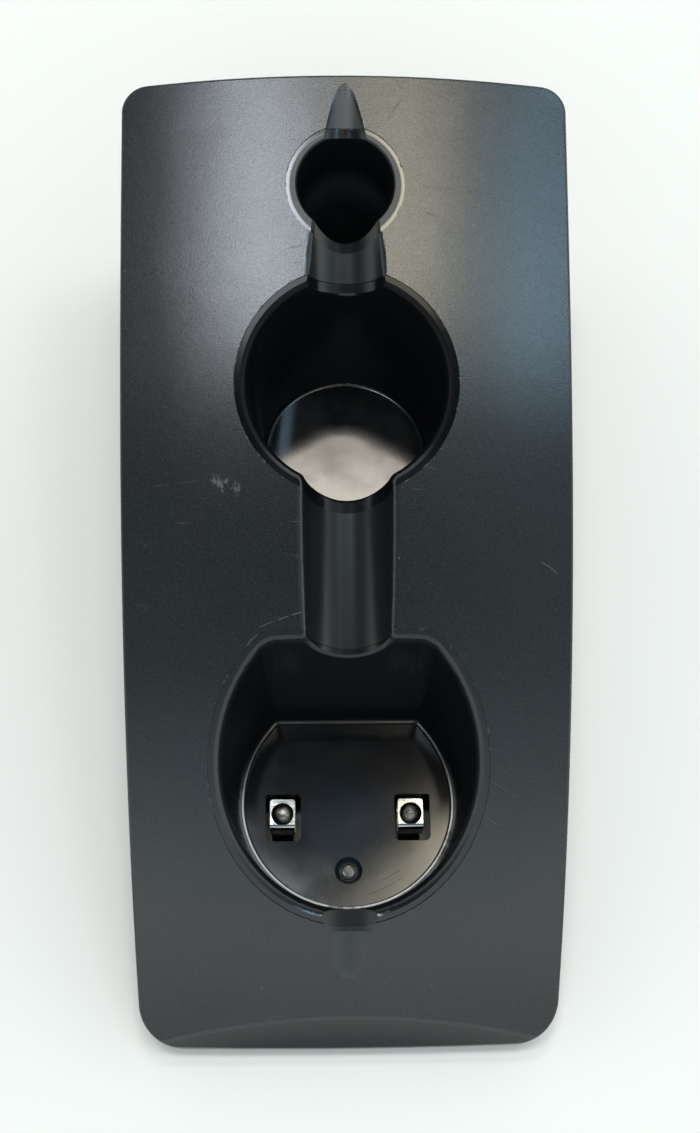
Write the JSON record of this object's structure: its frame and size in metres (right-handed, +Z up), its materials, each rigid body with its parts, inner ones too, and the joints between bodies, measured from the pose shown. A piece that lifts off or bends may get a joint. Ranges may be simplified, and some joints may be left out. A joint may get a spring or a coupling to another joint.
{
  "type": "trimmer charging stand",
  "caption": "Wedge-shaped desktop charging stand with a sloping curved face, a D-shaped charging well, round storage wells and a finger groove along its centre.",
  "frame": {"origin": "on the resting surface, under the middle of the overall box", "axes": "+Z up; -Y is the front, where the chin and the D-shaped well are; +X is right seen from the front; +Y is the rear, where the inlet is"},
  "size_m": [0.0828, 0.1656, 0.0625],
  "materials": {
    "case_top": "dark charcoal, fine spark texture on the face, gloss in the wells",
    "case_base": "fine matte moulding",
    "foot_rubber": "soft matt rubber",
    "screw_steel": "zinc-plated steel",
    "board_black": "black solder mask",
    "contact_nickel": "bright nickel-plated strip",
    "dome_gunmetal": "dark worn rivet head",
    "terminal_brass": "bare brass",
    "light_pipe": "smoky clear plastic",
    "led_white": "white package",
    "component_black": "moulded epoxy",
    "capacitor_can": "aluminium can",
    "jack_black": "black moulding",
    "jack_nickel": "nickel plate",
    "retainer_black": "black moulding",
    "lead_red": "red insulation",
    "lead_black": "black insulation",
    "connector_cream": "cream nylon"
  },
  "bodies": {
    "root": {"top_housing": "case_top", "base_plate": "case_base", "rubber_feet": "foot_rubber", "housing_screws": "screw_steel", "circuit_board": "board_black", "board_screws": "screw_steel", "contact_root_left": "contact_nickel", "contact_root_right": "contact_nickel", "contact_terminal_left": "terminal_brass", "contact_terminal_right": "terminal_brass", "terminal_rivets": "terminal_brass", "indicator_light_pipe": "light_pipe", "indicator_led": "led_white", "rectifier_diode": "component_black", "filter_capacitor": "capacitor_can", "series_resistors": "component_black", "dc_jack_body": "jack_black", "dc_jack_pin": "jack_nickel", "dc_jack_sleeve_spring": "jack_nickel", "jack_retainer": "retainer_black", "jack_retainer_screws": "screw_steel", "lead_positive": "lead_red", "lead_negative": "lead_black", "board_header": "connector_cream", "header_pins": "jack_nickel", "lead_plug": "connector_cream"},
    "contact_left": {"contact_spring_left": "contact_nickel", "contact_dome_left": "dome_gunmetal"},
    "contact_right": {"contact_spring_right": "contact_nickel", "contact_dome_right": "dome_gunmetal"}
  },
  "joints": [
    {"name": "left_contact_press", "type": "hinge", "parent": "root", "child": "contact_left", "pos_m": [-0.0118, -0.02833, 0.00812], "axis": [1, 0, 0], "range_deg": [0, 4.5], "stiffness_Nm_per_rad": 0.1},
    {"name": "right_contact_press", "type": "hinge", "parent": "root", "child": "contact_right", "pos_m": [0.0114, -0.02833, 0.00812], "axis": [1, 0, 0], "range_deg": [0, 4.5], "stiffness_Nm_per_rad": 0.1}
  ]
}
